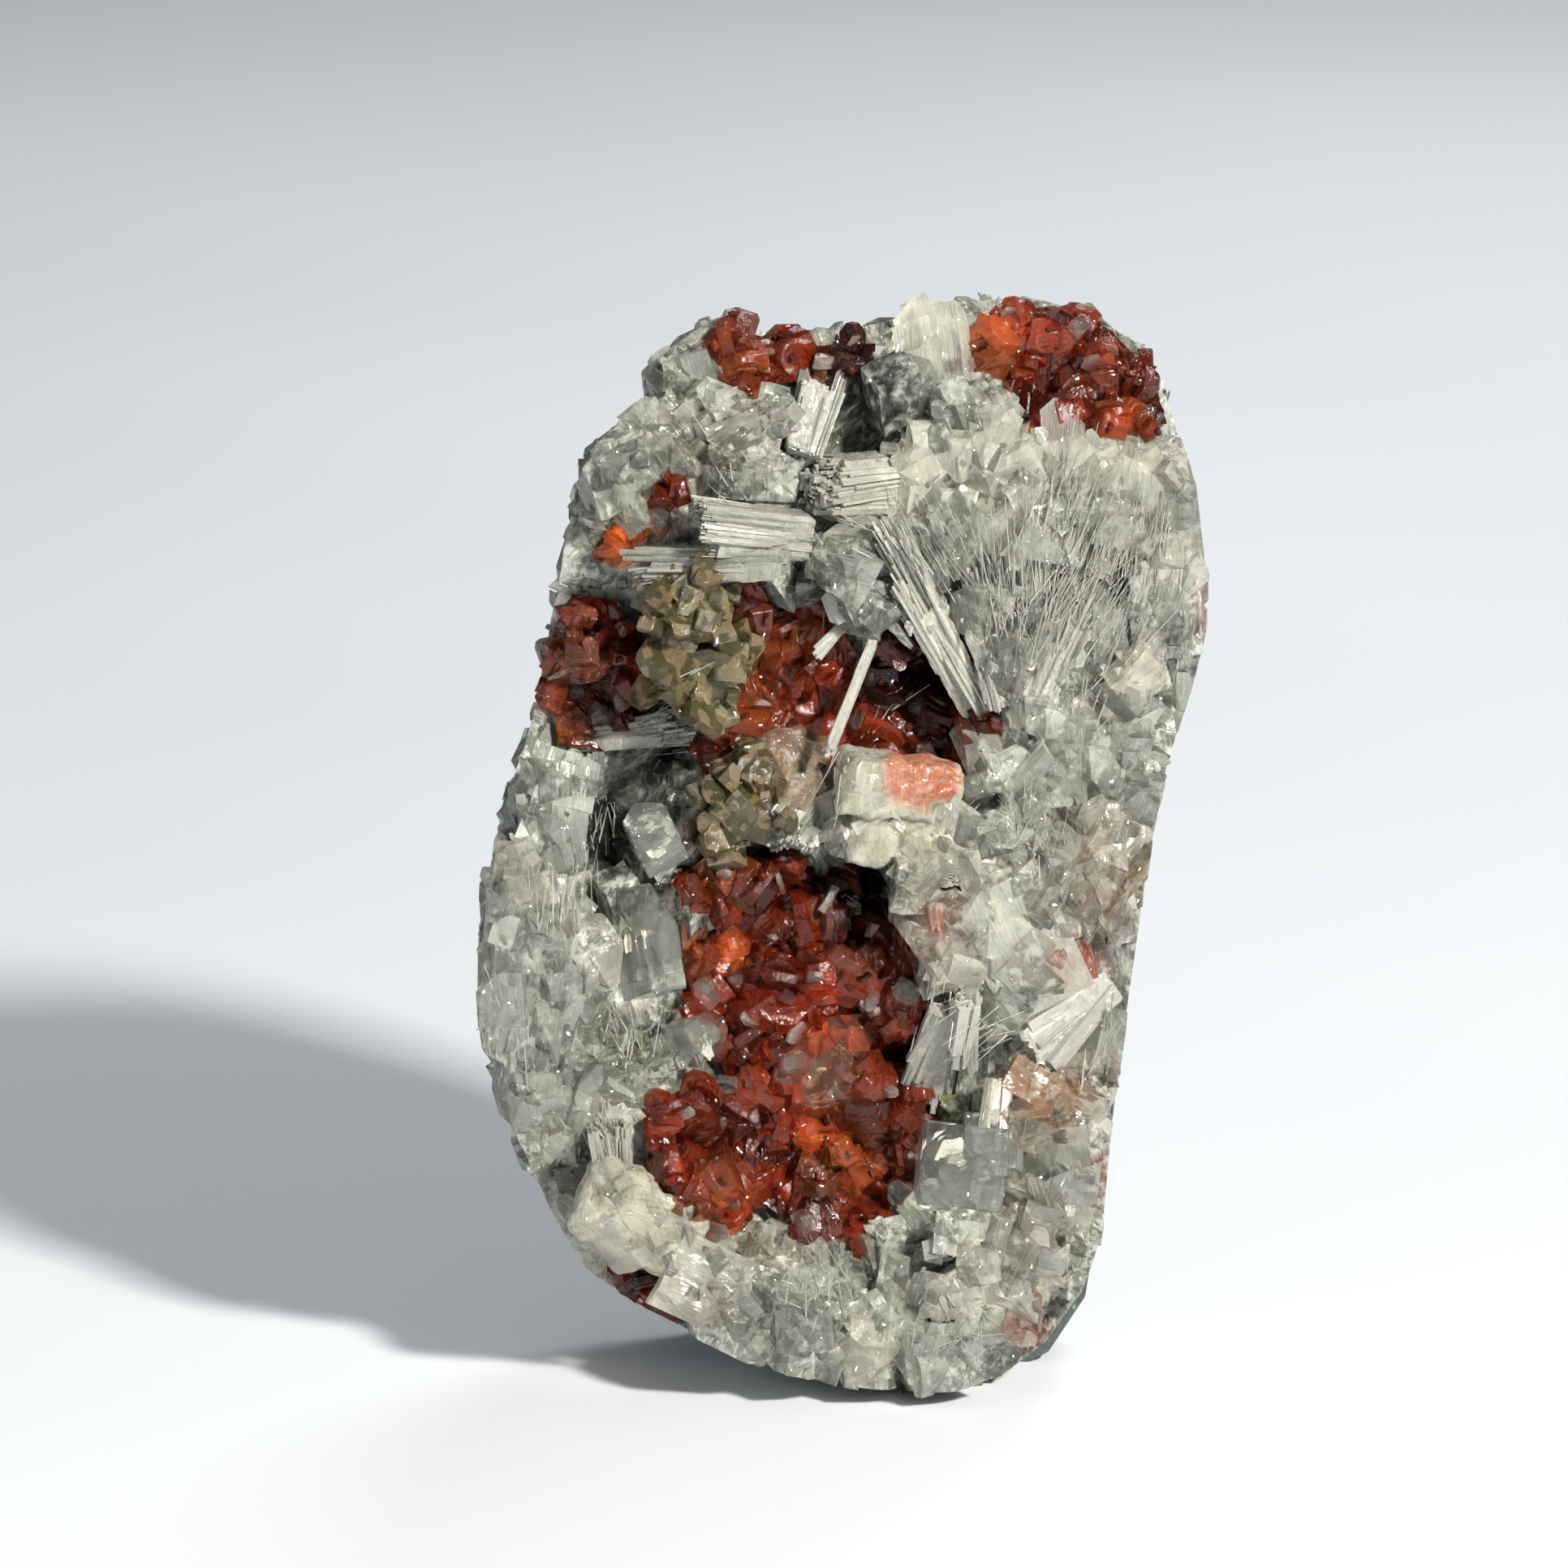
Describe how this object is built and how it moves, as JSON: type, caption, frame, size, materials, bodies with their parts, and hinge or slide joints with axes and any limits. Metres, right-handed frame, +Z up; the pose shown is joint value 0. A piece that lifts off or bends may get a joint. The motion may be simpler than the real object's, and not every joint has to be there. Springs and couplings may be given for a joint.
{
  "type": "scolecite on apophyllite mineral specimen",
  "caption": "Upright mineral specimen: white scolecite sprays and red heulandite on pale green apophyllite over dark basalt, ground flat at the foot to stand",
  "frame": {"origin": "centre of the flat ground foot that the specimen stands on", "axes": "+Z up, the crystal face looks along -Y, +X to the viewer's right"},
  "size_m": [0.09, 0.0501, 0.1399],
  "materials": {
    "pale_apophyllite": "milky pale green, glassy faces",
    "clear_apophyllite": "clear, glassy, slightly frosted",
    "green_apophyllite": "clear with mossy green inclusions, glassy",
    "red_heulandite": "translucent deep orange-red, pearly",
    "white_scolecite": "white, fibrous, silky",
    "basalt": "dark grey-green, rough, matte"
  },
  "bodies": {
    "root": {"apophyllite_amber_block": "clear_apophyllite", "apophyllite_clear_glint": "clear_apophyllite", "apophyllite_clear_long": "clear_apophyllite", "apophyllite_clear_tooth": "clear_apophyllite", "apophyllite_crown": "clear_apophyllite", "apophyllite_crust": "pale_apophyllite", "apophyllite_green_centre": "green_apophyllite", "apophyllite_green_round": "green_apophyllite", "apophyllite_green_upper": "green_apophyllite", "apophyllite_lower_clear": "clear_apophyllite", "apophyllite_prism": "clear_apophyllite", "apophyllite_tan": "clear_apophyllite", "basalt_matrix": "basalt", "heulandite_cave": "red_heulandite", "heulandite_left_edge": "red_heulandite", "heulandite_left_upper": "red_heulandite", "heulandite_lower_centre": "red_heulandite", "heulandite_lower_left": "red_heulandite", "heulandite_top_left": "red_heulandite", "heulandite_top_right": "red_heulandite", "heulandite_upper_centre": "red_heulandite", "scolecite_bar_lower": "white_scolecite", "scolecite_bar_upper": "white_scolecite", "scolecite_blade": "white_scolecite", "scolecite_cream_block": "white_scolecite", "scolecite_cream_tablet": "white_scolecite", "scolecite_diagonal": "white_scolecite", "scolecite_falling_spray": "white_scolecite", "scolecite_fan_left": "white_scolecite", "scolecite_fan_middle": "white_scolecite", "scolecite_fan_right": "white_scolecite", "scolecite_needle_long": "white_scolecite", "scolecite_needle_short": "white_scolecite", "scolecite_plate": "white_scolecite", "scolecite_rosette": "white_scolecite", "scolecite_shelf": "white_scolecite", "scolecite_stem": "white_scolecite", "scolecite_stub": "white_scolecite", "scolecite_tail": "white_scolecite", "scolecite_upright": "white_scolecite", "scolecite_white_mass": "white_scolecite"}
  },
  "joints": []
}
